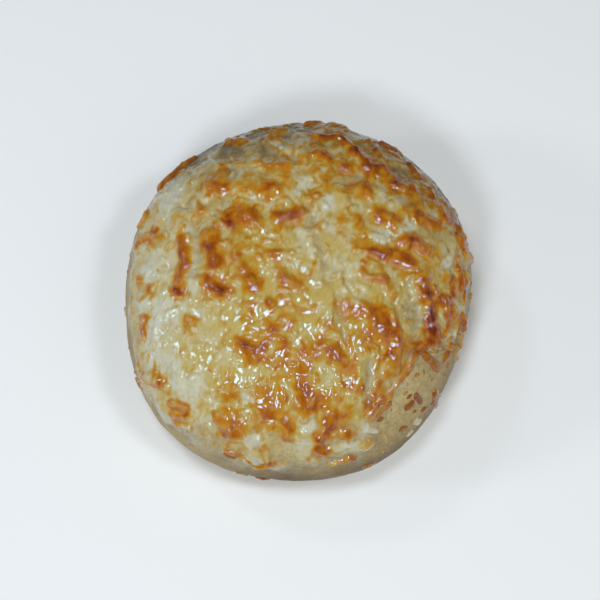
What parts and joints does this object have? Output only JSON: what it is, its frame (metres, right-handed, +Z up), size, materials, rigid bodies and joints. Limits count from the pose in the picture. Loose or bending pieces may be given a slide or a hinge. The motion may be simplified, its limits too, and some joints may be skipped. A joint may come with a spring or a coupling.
{
  "type": "cheese roll",
  "caption": "Round soft bread roll with a ragged sheet of melted, browned grated cheese baked over its top; bare crust shows at the sides and on one shoulder.",
  "frame": {"origin": "under the middle of the roll, on the flat base that it rests on", "axes": "+Z up out of the cheese; +X towards the right of the picture and +Y away from the viewer, so the bare shoulder lies towards +X and -Y"},
  "size_m": [0.1036, 0.1094, 0.0509],
  "materials": {
    "crust": "dry, matt, pale tan baked crust",
    "browned_cheese": "oily, half-gloss melted cheese, pale yellow to brown"
  },
  "bodies": {
    "root": {"bread": "crust", "cheese": "browned_cheese"}
  },
  "joints": []
}
